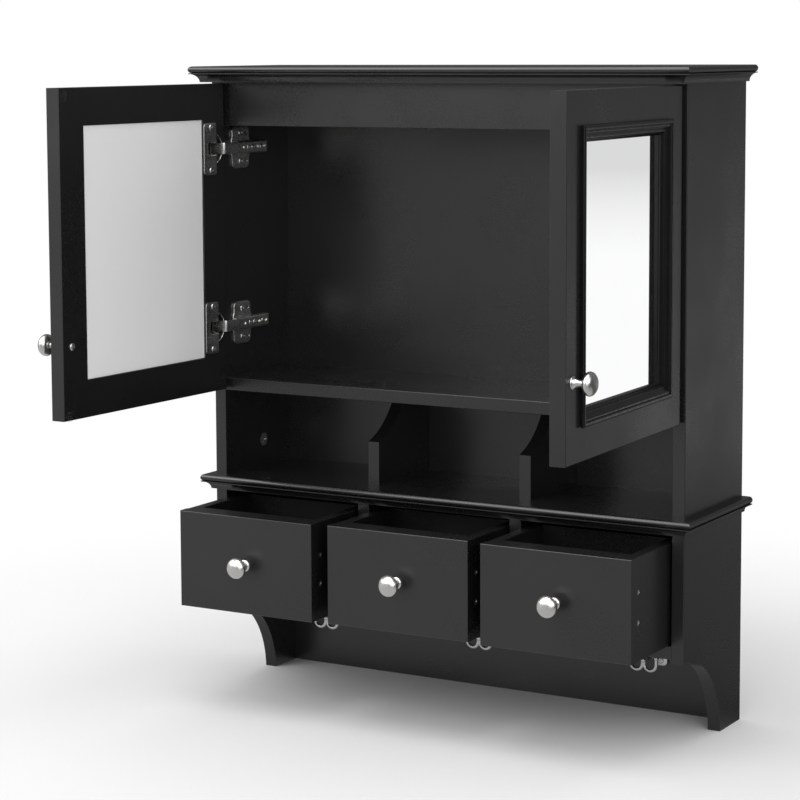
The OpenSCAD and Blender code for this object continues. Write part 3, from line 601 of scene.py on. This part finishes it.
def moulding_section():
    """Bead, quirk and slopes down to the mirror: distance in from the outer edge, height above the seat."""
    face = (DOOR_T - SEAT_D) / MM
    top = face + BEAD_H / MM
    points = [(1.3, face), (1.3, face + 0.5), (0.35, face + 1.1)]
    outer_r, inner_r = BEAD_TOP_R / MM, BEAD_INNER_R / MM
    points += arc((outer_r, top - outer_r), outer_r, 170, 90, 8)
    points += arc((3.5, top - inner_r), inner_r, 90, 0, 8)
    points += [(5.1, top - 1.75), (5.5, top - 1.75), (5.65, top - 1.35)]
    points += [(6.5, top - 1.3), (7.4, top - 1.65), (8.3, top - 2.35), (8.7, top - 2.5), (9.5, top - 3.4)]
    points += [(9.9, top - 3.55), (11.1, top - 4.1), (12.3, face + 0.05), (12.9, face - 0.75)]
    points += [(13.3, face - 0.95), (14.0, face - 2.1), (14.4, face - 2.35), (15.2, face - 3.7)]
    points += [(15.5, face - 3.95), (16, face - 4.9), (16, 0), (BEAD_LAP / MM, 0), (BEAD_LAP / MM, face)]
    return [(u * MM, h * MM) for u, h in points]


def mitred_length(section, length):
    """One length along X from 0, its section going in along Y and up along Z, cut at 45 degrees."""
    bm = bmesh.new()
    ends = []
    for flip in (False, True):
        row = []
        for u, h in section:
            x = min(u + MITRE_GAP / 2, length / 2)
            row.append(bm.verts.new((length - x if flip else x, u, h)))
        ends.append(row)
    count = len(section)
    for i in range(count):
        j = (i + 1) % count
        bm.faces.new((ends[0][i], ends[0][j], ends[1][j], ends[1][i]))
    bm.faces.new(ends[0])
    bm.faces.new(ends[1])
    bmesh.ops.recalc_face_normals(bm, faces=bm.faces)
    return mesh_of(bm, "length")


def build_mouldings():
    section = moulding_section()
    w = DOOR_W - 2 * BEAD_MARGIN
    h = door_h - 2 * BEAD_MARGIN
    low_x, high_x = BEAD_MARGIN, DOOR_W - BEAD_MARGIN
    low_z, high_z = BEAD_MARGIN, door_h - BEAD_MARGIN
    lengths = (
        (w, (1, 0, 0), (0, 0, 1), (low_x, -SEAT_D, low_z)),
        (h, (0, 0, 1), (-1, 0, 0), (high_x, -SEAT_D, low_z)),
        (w, (-1, 0, 0), (0, 0, -1), (high_x, -SEAT_D, high_z)),
        (h, (0, 0, -1), (1, 0, 0), (low_x, -SEAT_D, high_z)),
    )
    for side in SIDES:
        bm = bmesh.new()
        for length, along, inward, corner in lengths:
            merge(bm, mitred_length(section, length), on_door(side) @ axes(along, inward, (0, -1, 0), corner))
        piece(f"{side}_door_gloss_moulding", bm, GLOSS, f"{side}_door",
              (f"{side}_door_moulding",), sharp=28)


# Knobs

def knob_mesh():
    """Turned knob standing out along -Y from its foot."""
    chamfer, neck_steps, head_steps = 0.3 * MM, 12, 28
    neck = KNOB_REACH - KNOB_HALF_D - 1 * MM
    start = math.degrees(math.asin(KNOB_NECK_R / KNOB_R))
    profile = [(0, 0), (KNOB_FOOT_R - chamfer, 0), (KNOB_FOOT_R, chamfer)]
    profile += [(KNOB_FOOT_R, KNOB_RIM - 0.4 * MM), (KNOB_FOOT_R - 0.25 * MM, KNOB_RIM)]
    for i in range(1, neck_steps + 1):
        a = math.radians(90 * i / neck_steps)
        profile.append((KNOB_FOOT_R - (KNOB_FOOT_R - KNOB_NECK_R) * math.sin(a),
                        neck - (neck - KNOB_RIM) * math.cos(a)))
    for i in range(head_steps + 1):
        a = math.radians(start + (180 - start) * i / head_steps)
        profile.append((KNOB_R * math.sin(a) if i < head_steps else 0,
                        KNOB_REACH - KNOB_HALF_D * math.cos(a)))
    mesh = lathe(profile, 72)
    mesh.transform(TO_ROOM)
    return mesh


def build_knobs():
    spots = []
    for side in SIDES:
        local = on_door(side) @ at(DOOR_W - DOOR_KNOB_INSET, -DOOR_T, DOOR_KNOB_Z)
        y = local.col[1].to_3d().normalized()
        z = Vector((0, 0, 1))
        spots.append((f"{side}_door", axes(y.cross(z), y, z, local.translation)))
    for drawer in DRAWERS:
        low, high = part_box(f"{drawer}_drawer_knob")
        centre = (low + high) / 2
        spots.append((f"{drawer}_drawer", at(centre.x, high.y, centre.z)))
    for body, matrix in spots:
        bm = bmesh.new()
        merge(bm, knob_mesh())
        piece(f"{body}_turned_knob", bm, NICKEL, body, (f"{body}_knob",), matrix, sharp=40)


# Screws

def build_screws():
    wood, small, large = (screw_head(*sizes) for sizes in (WOOD_HEAD, ARM_HEAD, KNOB_HEAD))
    web_x = pivot.x + NECK_REACH + STEEL_T / 2
    fixed = []
    for side in SIDES:
        for height in HINGE_HEIGHTS:
            z = door_z + height
            for s in (-1, 1):
                place = at(WING_T - inner_half, front_y + WING_BACK + WING_W / 2, z + s * WING_PITCH / 2)
                fixed.append((wood, mirrored(side) @ place @ TO_RIGHT))
            for reach in ARM_SCREWS:
                fixed.append((small, mirrored(side) @ at(web_x, front_y + ARM_BACK + reach, z) @ TO_RIGHT))
    groups = [("hinge_screws", "cabinet", fixed)]
    hooks = []
    for i in (-1, 0, 1):
        for s in (-1, 1):
            z = foot_z + HOOK_Z + s * HOOK_SCREW_PITCH / 2
            hooks.append((wood, at(i * HOOK_PITCH, low_back_y - HOOK_PLATE[2], z) @ TO_ROOM))
    groups.append(("hook_screws", "cabinet", hooks))
    for side in SIDES:
        heads = [(large, on_door(side) @ at(DOOR_W - DOOR_KNOB_INSET, 0, DOOR_KNOB_Z) @ TO_WALL)]
        for height in HINGE_HEIGHTS:
            for s in (-1, 1):
                place = at(CUP_SCREW_S, STEEL_T, height + s * CUP_PITCH / 2)
                heads.append((wood, on_door(side) @ place @ TO_WALL))
        groups.append((f"{side}_door_screws", f"{side}_door", heads))
    for drawer in DRAWERS:
        low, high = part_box(f"{drawer}_drawer_sides")
        front_low, front_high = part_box(f"{drawer}_drawer_front")
        middle_x = (low.x + high.x) / 2
        middle_z = (front_low.z + front_high.z) / 2
        back_of_board = low.y + BOX_T
        heads = [(large, at(middle_x, back_of_board, middle_z) @ TO_WALL)]
        for s in (-1, 1):
            heads.append((wood, at(middle_x + s * FIX_SCREW_X, back_of_board, middle_z) @ TO_WALL))
        for side in SIDES:
            for y in (low.y + BOX_T / 2, high.y - BOX_T / 2):
                for z in (0, SIDE_SCREW_PITCH):
                    across = at(middle_x, 0, 0) @ mirrored("left" if side == "right" else "right")
                    heads.append((wood, across @ at((high.x - low.x) / 2 - HEAD_T, y,
                                                    front_low.z + SIDE_SCREW_LOW + z) @ TO_RIGHT))
        groups.append((f"{drawer}_drawer_screws", f"{drawer}_drawer", heads))
    for node, body, heads in groups:
        bm = bmesh.new()
        for mesh, matrix in heads:
            merge(bm, mesh.copy(), matrix)
        piece(f"{node}_cross_heads", bm, SCREW_STEEL, body, (node,))
    for mesh in (wood, small, large):
        bpy.data.meshes.remove(mesh)


# Concealed hinges

def cup_plate():
    """Pressed screw plate over the cup's outer half, with a square mouth open towards the hinge edge."""
    low, high, half = 15.5, FLANGE_END / MM, FLANGE_H / MM / 2
    mouth, mouth_half, r = 31.0, 7.0, 1.5
    far_r, near_r = 4.5, 3
    points = arc((high - far_r, half - far_r), far_r, 0, 90, 6)
    points += arc((low + near_r, half - near_r), near_r, 90, 180, 5)
    points += [(low, mouth_half)] + arc((mouth - r, mouth_half - r), r, 90, 0, 4)
    points += arc((mouth - r, r - mouth_half), r, 0, -90, 4) + [(low, -mouth_half)]
    points += arc((low + near_r, near_r - half), near_r, 180, 270, 5)
    points += arc((high - far_r, far_r - half), far_r, 270, 360, 6)
    return [[(x * MM, y * MM) for x, y in points]]


def build_cups():
    """Screw plate and rim in bright steel, and bowl and cheeks in the same steel painted dark as shade inside
    the cup, in millimetres round the cup's axis.
    """
    rim = [(17.4, -1.5), (17.4, 0.5), (17.2, 0.9), (16.8, 1.05), (16.4, 0.9), (16.2, 0.5), (16.2, -1.5)]
    bowl = [(0, -14), (15.4, -14), (16.7, -13.5), (17.3, -12.4), (17.3, -0.1), (16.2, -0.1), (16.2, -11.4),
            (15.8, -12.6), (14.6, -13.3), (0, -13.3)]
    cheek = rounded_box(CHEEK_LOW, CHEEK_HIGH, CHEEK_CORNER_R)
    for side in SIDES:
        bright = bmesh.new()
        shaded = bmesh.new()
        for height in HINGE_HEIGHTS:
            place = on_door(side) @ at(0, 0, height)
            merge(bright, stamping(cup_plate(), STEEL_T, 0.35 * MM), place @ at(0, STEEL_T / 2, 0) @ TO_ROOM)
            cup = place @ at(CUP_S, 0, 0) @ TO_WALL
            merge(bright, ring_mesh([(r * MM, z * MM) for r, z in rim]), cup)
            merge(shaded, lathe([(r * MM, z * MM) for r, z in bowl], 64), cup)
            for s in (-1, 1):
                merge(shaded, stamping([cheek], CHEEK_T, 0.15 * MM), place @ at(0, 0, s * CHEEK_OFF))
        for name, bm, material in (("plates", bright, HINGE_STEEL), ("bowls", shaded, CUP_STEEL_PAINTED_SHADE)):
            piece(f"{side}_door_cup_{name}", bm, material, f"{side}_door",
                  (f"{side}_door_hinge_cups",), sharp=30)


def channel_outline(open_x, web_x):
    """U section of the arm's box in XZ, open towards -X."""
    b, t, r = ARM_HALF, STEEL_T, ARM_CORNER_R
    low, high = (web_x - r, r - b), (web_x - r, b - r)
    points = [(open_x, -b)] + arc(low, r, -90, 0, 6) + arc(high, r, 0, 90, 6)
    points += [(open_x, b), (open_x, b - t)] + arc(high, r - t, 90, 0, 6) + arc(low, r - t, 0, -90, 6)
    points += [(open_x, t - b)]
    return points


def neck_outline():
    """Bent strip of the arm from the knuckle sideways, leaning back, to its box, in XY."""
    half = STEEL_T / 2
    x, y = pivot.x, pivot.y - NECK_SET
    turn = NECK_TURN_R
    s, c = math.sin(math.radians(NECK_LEAN)), math.cos(math.radians(NECK_LEAN))
    corner = (x + NECK_REACH - turn, y + (turn + s * (NECK_REACH - turn)) / c)
    back = front_y + ARM_BACK + 1 * MM
    outer = [(x + s * half, y - c * half)] + arc(corner, turn + half, NECK_LEAN - 90, 0, 8)
    inner = arc(corner, turn - half, 0, NECK_LEAN - 90, 8) + [(x - s * half, y + c * half)]
    return outer + [(x + NECK_REACH + half, back), (x + NECK_REACH - half, back)] + inner


def slot_outline(centre, length, radius):
    """Long hole along X."""
    x, y = centre
    reach = length / 2 - radius
    return arc((x + reach, y), radius, -90, 90, 8) + arc((x - reach, y), radius, 90, 270, 8)


def build_arms():
    web_x = pivot.x + NECK_REACH + STEEL_T / 2
    box_front = front_y + ARM_BACK
    cutter_t = 6 * MM
    edge = PRESSED_EDGE
    knuckle = [(0, -NECK_HALF), (KNUCKLE_R - edge, -NECK_HALF), (KNUCKLE_R, edge - NECK_HALF),
               (KNUCKLE_R, NECK_HALF - edge), (KNUCKLE_R - edge, NECK_HALF), (0, NECK_HALF)]
    bm = bmesh.new()
    for side in SIDES:
        for height in HINGE_HEIGHTS:
            place = mirrored(side) @ at(0, 0, door_z + height)
            merge(bm, stamping([neck_outline()], 2 * NECK_HALF, PRESSED_EDGE), place)
            merge(bm, lathe(knuckle, 24), place @ at(pivot.x, pivot.y, 0))
            channel = stamping([channel_outline(web_x - ARM_DEPTH, web_x)], ARM_L, PRESSED_EDGE)
            channel.transform(axes((1, 0, 0), (0, 0, 1), (0, -1, 0), (0, box_front + ARM_L / 2, 0)))
            slots = []
            for share, length in ARM_SLOTS:
                tool = stamping([slot_outline((0, 0), length, ARM_SLOT_R)], cutter_t, 0.0)
                tool.transform(at(web_x, box_front + share * ARM_L, 0) @ TO_RIGHT)
                slots.append(tool)
            merge(bm, cut_away(channel, slots), place)
    piece("pressed_hinge_arms", bm, HINGE_STEEL, "cabinet", ("hinge_arms",), sharp=30)


def wing_outline():
    """Two rounded ears joined by a wide waist, along Y as X and up as Y, with a long hole in each ear."""
    w, h = WING_W / MM, WING_H / MM / 2
    r, step = 6.5, 1.5
    ear_end, waist_end = 11, 9
    hole_inset, hole_l, hole_r = 6.2, 5.2, 1.5
    points = arc((w - r, h - r), r, 0, 90, 8) + arc((r, h - r), r, 90, 180, 8)
    points += [(0, ear_end), (-step, waist_end), (-step, -waist_end), (0, -ear_end)]
    points += arc((r, r - h), r, 180, 270, 8) + arc((w - r, r - h), r, 270, 360, 8)
    points += [(w, -ear_end), (w + step, -waist_end), (w + step, waist_end), (w, ear_end)]
    holes = [slot_outline((w - hole_inset, s * WING_PITCH / MM / 2), hole_l, hole_r) for s in (-1, 1)]
    return [[(x * MM, y * MM) for x, y in line] for line in [points] + holes]


def build_plates():
    web_x = pivot.x + NECK_REACH - STEEL_T / 2
    rise = web_x + inner_half
    base_end = 2 * MM
    block = rounded_box((base_end, -WING_BASE_HALF), (ARM_L - base_end, WING_BASE_HALF), 1.5 * MM)
    bm = bmesh.new()
    for side in SIDES:
        for height in HINGE_HEIGHTS:
            place = mirrored(side) @ at(0, 0, door_z + height)
            plate = stamping(wing_outline(), WING_T, 0.5 * MM)
            merge(bm, plate, place @ at(WING_T / 2 - inner_half, front_y + WING_BACK, 0) @ TO_RIGHT)
            base = stamping([block], rise, 0.3 * MM)
            merge(bm, base, place @ at(rise / 2 - inner_half, front_y + ARM_BACK, 0) @ TO_RIGHT)
    piece("pressed_wing_plates", bm, HINGE_STEEL, "cabinet", ("hinge_plates",), sharp=30)


# Robe hooks

def hook_mesh():
    """Double hook with its stem at the origin, standing out along -Y."""
    bm = bmesh.new()
    width, height, depth = HOOK_PLATE
    plate = rounded_box((-width / 2, -height / 2), (width / 2, height / 2), 5 * MM, 8)
    merge(bm, stamping([plate], depth, 1.1 * MM), at(0, -depth / 2, 0) @ TO_ROOM)
    collar_r = STEM_R + 1.6 * MM
    stem = [(0, 1 * MM), (collar_r, 1 * MM), (collar_r, depth),
            (STEM_R + 0.7 * MM, depth + 0.8 * MM), (STEM_R + 0.1 * MM, depth + 2.5 * MM),
            (STEM_R, depth + 6 * MM), (STEM_R, HOOK_REACH - 4 * MM)]
    for degrees in (-35, -20, 0, 20, 40, 60, 75, 90):
        a = math.radians(degrees)
        stem.append((NOSE_R * math.cos(a) if degrees < 90 else 0, HOOK_REACH + NOSE_R * math.sin(a)))
    merge(bm, lathe(stem, 32), TO_ROOM)
    bend_steps = 16
    for s in (-1, 1):
        inner = s * PRONG_R / 2
        middle = s * (PRONG_R / 2 + PRONG_BEND_R)
        tip = s * (PRONG_R / 2 + 2 * PRONG_BEND_R)
        path = [(inner, 0), (inner, -PRONG_DROP / 2)]
        for i in range(bend_steps + 1):
            a = math.radians(180 + 180 * i / bend_steps)
            path.append((middle + s * PRONG_BEND_R * math.cos(a), PRONG_BEND_R * math.sin(a) - PRONG_DROP))
        path += [(tip, -PRONG_DROP + PRONG_RISE / 2), (tip, PRONG_RISE - PRONG_DROP)]
        merge(bm, tube([(x, -HOOK_REACH, z) for x, z in path], PRONG_R))
        ball = [(PRONG_BALL_R * math.sin(math.radians(a)) if 0 < a < 180 else 0,
                 -PRONG_BALL_R * math.cos(math.radians(a))) for a in range(0, 181, 15)]
        merge(bm, lathe(ball, 24), at(tip, -HOOK_REACH, PRONG_RISE - PRONG_DROP))
    return mesh_of(bm, "hook")


def build_hooks():
    bm = bmesh.new()
    hook = hook_mesh()
    for i in (-1, 0, 1):
        merge(bm, hook.copy(), at(i * HOOK_PITCH, low_back_y, foot_z + HOOK_Z))
    bpy.data.meshes.remove(hook)
    piece("polished_robe_hooks", bm, CHROME, "cabinet", ("robe_hooks",), sharp=50)


build_mouldings()
build_knobs()
build_screws()
build_cups()
build_arms()
build_plates()
build_hooks()


# Camera at the photograph's place

IMAGE_SIZE = 800
FOCAL_PX = 2446.8
PRINCIPAL_PX = (370, 304)
CAMERA_AT = Vector((1.2580, -2.4292, 0.0699))
CAMERA_YAW = math.radians(30.53)
CAMERA_PITCH = math.radians(-6.04)
CAMERA_ROLL = math.radians(-0.32)
SENSOR_MM = 36.0
CLIP = (0.05, 100.0)


def make_camera():
    forward = Vector((-math.sin(CAMERA_YAW) * math.cos(CAMERA_PITCH),
                      math.cos(CAMERA_YAW) * math.cos(CAMERA_PITCH), math.sin(CAMERA_PITCH)))
    level = Vector((math.cos(CAMERA_YAW), math.sin(CAMERA_YAW), 0))
    above = level.cross(forward)
    right = level * math.cos(CAMERA_ROLL) + above * math.sin(CAMERA_ROLL)
    up = above * math.cos(CAMERA_ROLL) - level * math.sin(CAMERA_ROLL)
    data = bpy.data.cameras.new("camera")
    data.sensor_width = SENSOR_MM
    data.lens = FOCAL_PX / IMAGE_SIZE * data.sensor_width
    data.shift_x = (IMAGE_SIZE / 2 - PRINCIPAL_PX[0]) / IMAGE_SIZE
    data.shift_y = (PRINCIPAL_PX[1] - IMAGE_SIZE / 2) / IMAGE_SIZE
    data.clip_start, data.clip_end = CLIP
    camera = linked("camera", data)
    camera.matrix_world = axes(right, up, -forward, CAMERA_AT)
    bpy.context.scene.camera = camera


make_camera()


# Light, world and floor

# Tones that metal and gloss see. Half angles are in degrees: full inside the first and none outside the second.
BASE_TONE = 0.08
WINDOW_TONE = 0.45
WINDOW = Vector((-0.866, -0.5, 0.0))
WINDOW_HALF = (12, 80)
WINDOW_FROM = Vector((1.2, 2.2, 0.0))
REAR_TONE = 0.075
REAR = Vector((0.15, 0.989, 0.0))
REAR_HALF = (20, 70)
OVERHEAD_TONE = 1.6
OVERHEAD_RISE = (0.1, 0.5)
OVERHEAD_FRONT = (-0.5, 0.3)

# White runner on the floor that the right door's mirror shows
CARD = Vector((0.3535, 0.9354, 0.0))
CARD_HALF = (1.0, 1.35)
CARD_FROM = Vector((-0.546, -2.414, 0.0))
CARD_NEAR = (1.5, 1.9)
CARD_FADE = (6.0, 12.0)
CARD_FAR = 0.72

WORLD_LIGHT = 0.74
FLOOR_HALF = 24.0
FLOOR_FADE = (0.35, 1.15)
FLOOR_WINDOW = (-0.1, 0.12)
LAMPS = (
    ("key", (-1.9, -2.7, 1.5), 2.4, 30.0),
    ("front", (1.6, -3.0, 0.6), 2.4, 16.0),
    ("fill", (2.6, -1.9, 0.9), 1.8, 10.0),
    ("top", (0.0, -0.9, 2.2), 1.6, 18.0),
)


def shown_rays(n):
    """Two factors that are 0 for the rays that light the object: camera rays, and all rays that show."""
    path = n.add("ShaderNodeLightPath")
    camera = path.outputs["Is Camera Ray"]
    mirror = n.math("MAXIMUM", path.outputs["Is Glossy Ray"], path.outputs["Is Transmission Ray"])
    return camera, n.math("MAXIMUM", camera, mirror)


def cosines(half):
    return tuple(math.cos(math.radians(angle)) for angle in half)


def lobe(n, level, axis, half, height):
    """height in the directions round axis, falling to 0 between the two angles of half."""
    full, none = cosines(half)
    return n.spread(n.vector("DOT_PRODUCT", level, axis), 0.0, height, none, full, "SMOOTHSTEP")


def room_tone(n, window, rear):
    """What metal and gloss see of the dim studio in a level direction, with a wide window at the left."""
    tone = n.math("ADD", lobe(n, rear, REAR, REAR_HALF, REAR_TONE), BASE_TONE)
    return n.math("ADD", tone, window)


def card_share(n, where, away):
    """1 on the white runner on the floor that the right door's mirror shows."""
    level = n.vector("NORMALIZE", n.vector("SUBTRACT", where, CARD_FROM))
    return n.math("MULTIPLY", lobe(n, level, CARD, CARD_HALF, 1.0), n.spread(away, 0.0, 1.0, *CARD_NEAR))


def make_world():
    world = bpy.data.worlds.new("studio")
    bpy.context.scene.world = world
    world.use_nodes = True
    n = Nodes(world.node_tree)
    n.tree.nodes.clear()
    ray = n.add("ShaderNodeTexCoord").outputs["Generated"]
    level = n.vector("NORMALIZE", n.vector("MULTIPLY", ray, (1, 1, 0)))
    parts = n.add("ShaderNodeSeparateXYZ", {"Vector": ray})
    front = n.spread(parts.outputs["Y"], 1.0, 0.0, *OVERHEAD_FRONT, "SMOOTHSTEP")
    rise = n.spread(parts.outputs["Z"], 0.0, OVERHEAD_TONE, *OVERHEAD_RISE, "SMOOTHSTEP")
    over = n.math("MULTIPLY", front, rise)
    window = lobe(n, level, WINDOW, WINDOW_HALF, WINDOW_TONE)
    room = n.math("ADD", room_tone(n, window, level), over)
    camera, shown = shown_rays(n)
    strength = n.mix(shown, WORLD_LIGHT, n.mix(camera, room, 1.0))
    background = n.add("ShaderNodeBackground", {"Color": (1, 1, 1, 1), "Strength": strength})
    output = n.add("ShaderNodeOutputWorld")
    n.link(background.outputs["Background"], output.inputs["Surface"])


def make_floor():
    """Pale floor under the feet. Its own shade shows near the object and fades to white further out."""
    g = Graph("floor")
    g.tree.nodes.remove(g.shader)
    cloud = g.noise(1.5, detail=3.0)
    matt = g.add("ShaderNodeBsdfDiffuse", {"Color": g.blend(cloud, (0.9, 0.9, 0.9), (0.93, 0.93, 0.93))})
    where = g.add("ShaderNodeTexCoord").outputs["Object"]
    away = g.vector("LENGTH", where)
    card = g.mix(g.spread(away, 0.0, 1.0, *CARD_FADE), 1.0, CARD_FAR)
    from_wall = g.vector("NORMALIZE", g.vector("SUBTRACT", where, WINDOW_FROM))
    depth = g.add("ShaderNodeSeparateXYZ", {"Vector": where}).outputs["Y"]
    window = g.math("MULTIPLY", lobe(g, from_wall, WINDOW, WINDOW_HALF, WINDOW_TONE),
                    g.spread(depth, 1.0, 0.0, *FLOOR_WINDOW, "SMOOTHSTEP"))
    room = g.mix(card_share(g, where, away), room_tone(g, window, g.vector("NORMALIZE", where)), card)
    camera, shown = shown_rays(g)
    glow = g.add("ShaderNodeEmission", {"Color": (1, 1, 1, 1), "Strength": g.mix(camera, room, 1.0)})
    far = g.spread(away, 0.0, 1.0, *FLOOR_FADE, "SMOOTHSTEP")
    factor = g.math("MULTIPLY", shown, g.mix(camera, 1.0, far))
    mixed = g.add("ShaderNodeMixShader", {0: factor, 1: matt.outputs[0], 2: glow.outputs[0]})
    g.link(mixed.outputs[0], g.output.inputs["Surface"])
    bm = bmesh.new()
    bmesh.ops.create_grid(bm, x_segments=2, y_segments=2, size=FLOOR_HALF)
    mesh = mesh_of(bm, "floor")
    mesh.materials.append(g.material)
    floor = linked("floor", mesh)
    floor.location = (0, front_y / 2, foot_z)


def soft_light(name, place, aim, size, power):
    """Square soft box that faces aim."""
    data = bpy.data.lights.new(name, "AREA")
    data.shape = "SQUARE"
    data.size = size
    data.energy = power
    lamp = linked(name, data)
    lamp.location = place
    lamp.rotation_mode = "QUATERNION"
    lamp.rotation_quaternion = (Vector(aim) - Vector(place)).to_track_quat("-Z", "Y")


bpy.context.scene.view_settings.view_transform = "Standard"
make_world()
make_floor()
middle = (cad_box[0] + cad_box[1]) / 2
for lamp_name, lamp_at, lamp_size, watts in LAMPS:
    soft_light(lamp_name, lamp_at, middle, lamp_size, watts)
